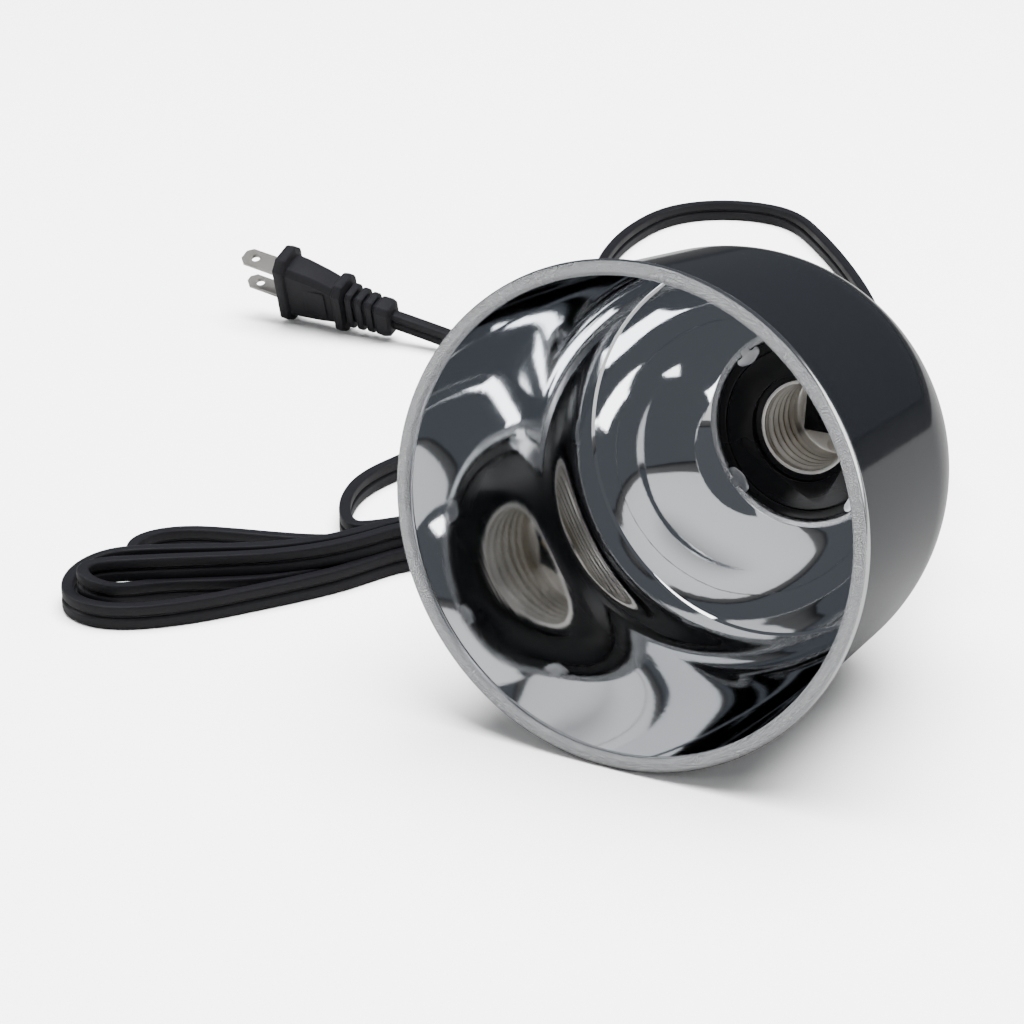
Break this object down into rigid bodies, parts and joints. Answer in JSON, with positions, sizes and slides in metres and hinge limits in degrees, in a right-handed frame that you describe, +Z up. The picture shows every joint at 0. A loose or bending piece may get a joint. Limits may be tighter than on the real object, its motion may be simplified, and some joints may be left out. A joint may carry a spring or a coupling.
{
  "type": "heat lamp fixture",
  "caption": "Deep dome heat lamp fixture: black spun reflector with a mirror inside, screw lampholder with sprung centre contact, rear cap, flat twin cord and two-blade plug.",
  "frame": {"origin": "under the middle of the lamp's box, on the surface it lies on, without its cord", "axes": "+Z up; +Y from the mouth towards the rear cap, along the lamp's length; mouth faces -Y and slightly up"},
  "size_m": [0.359, 0.464, 0.1391],
  "materials": {
    "spun_aluminium": "spun aluminium, polished inside, glossy black enamel outside",
    "fibre_gasket": "matt heat-resistant fibre",
    "black_phenolic": "moulded black phenolic",
    "shell_metal": "satin rolled shell",
    "contact_brass": "bright brass",
    "screw_steel": "zinc plated",
    "cord_jacket": "soft black vinyl",
    "plug_moulding": "moulded black vinyl",
    "blade_nickel": "nickel plated"
  },
  "bodies": {
    "lamp": {"reflector": "spun_aluminium", "gasket": "fibre_gasket", "housing": "black_phenolic", "rear_cap": "black_phenolic", "socket_insert": "black_phenolic", "screw_shell": "shell_metal", "shell_rivets": "shell_metal", "contact_foot": "contact_brass", "contact_rivet": "contact_brass", "live_terminal": "contact_brass", "neutral_terminal": "contact_brass", "lead_lugs": "contact_brass", "clamp_nuts": "contact_brass", "terminal_screws": "screw_steel", "cap_screws": "screw_steel", "cord_bushing": "cord_jacket", "live_lead": "cord_jacket", "neutral_lead": "cord_jacket", "cord_run_to_hank": "cord_jacket", "cord_hank": "cord_jacket", "cord_run_to_plug": "cord_jacket", "plug_body": "plug_moulding", "wide_blade": "blade_nickel", "narrow_blade": "blade_nickel"},
    "contact": {"centre_contact": "contact_brass"}
  },
  "joints": [
    {"name": "contact_flex", "type": "hinge", "parent": "lamp", "child": "contact", "pos_m": [0.0045, 0.05497, 0.05317], "axis": [0, -0.1142, -0.9935], "range_deg": [0, 8], "stiffness_Nm_per_rad": 0.14}
  ]
}
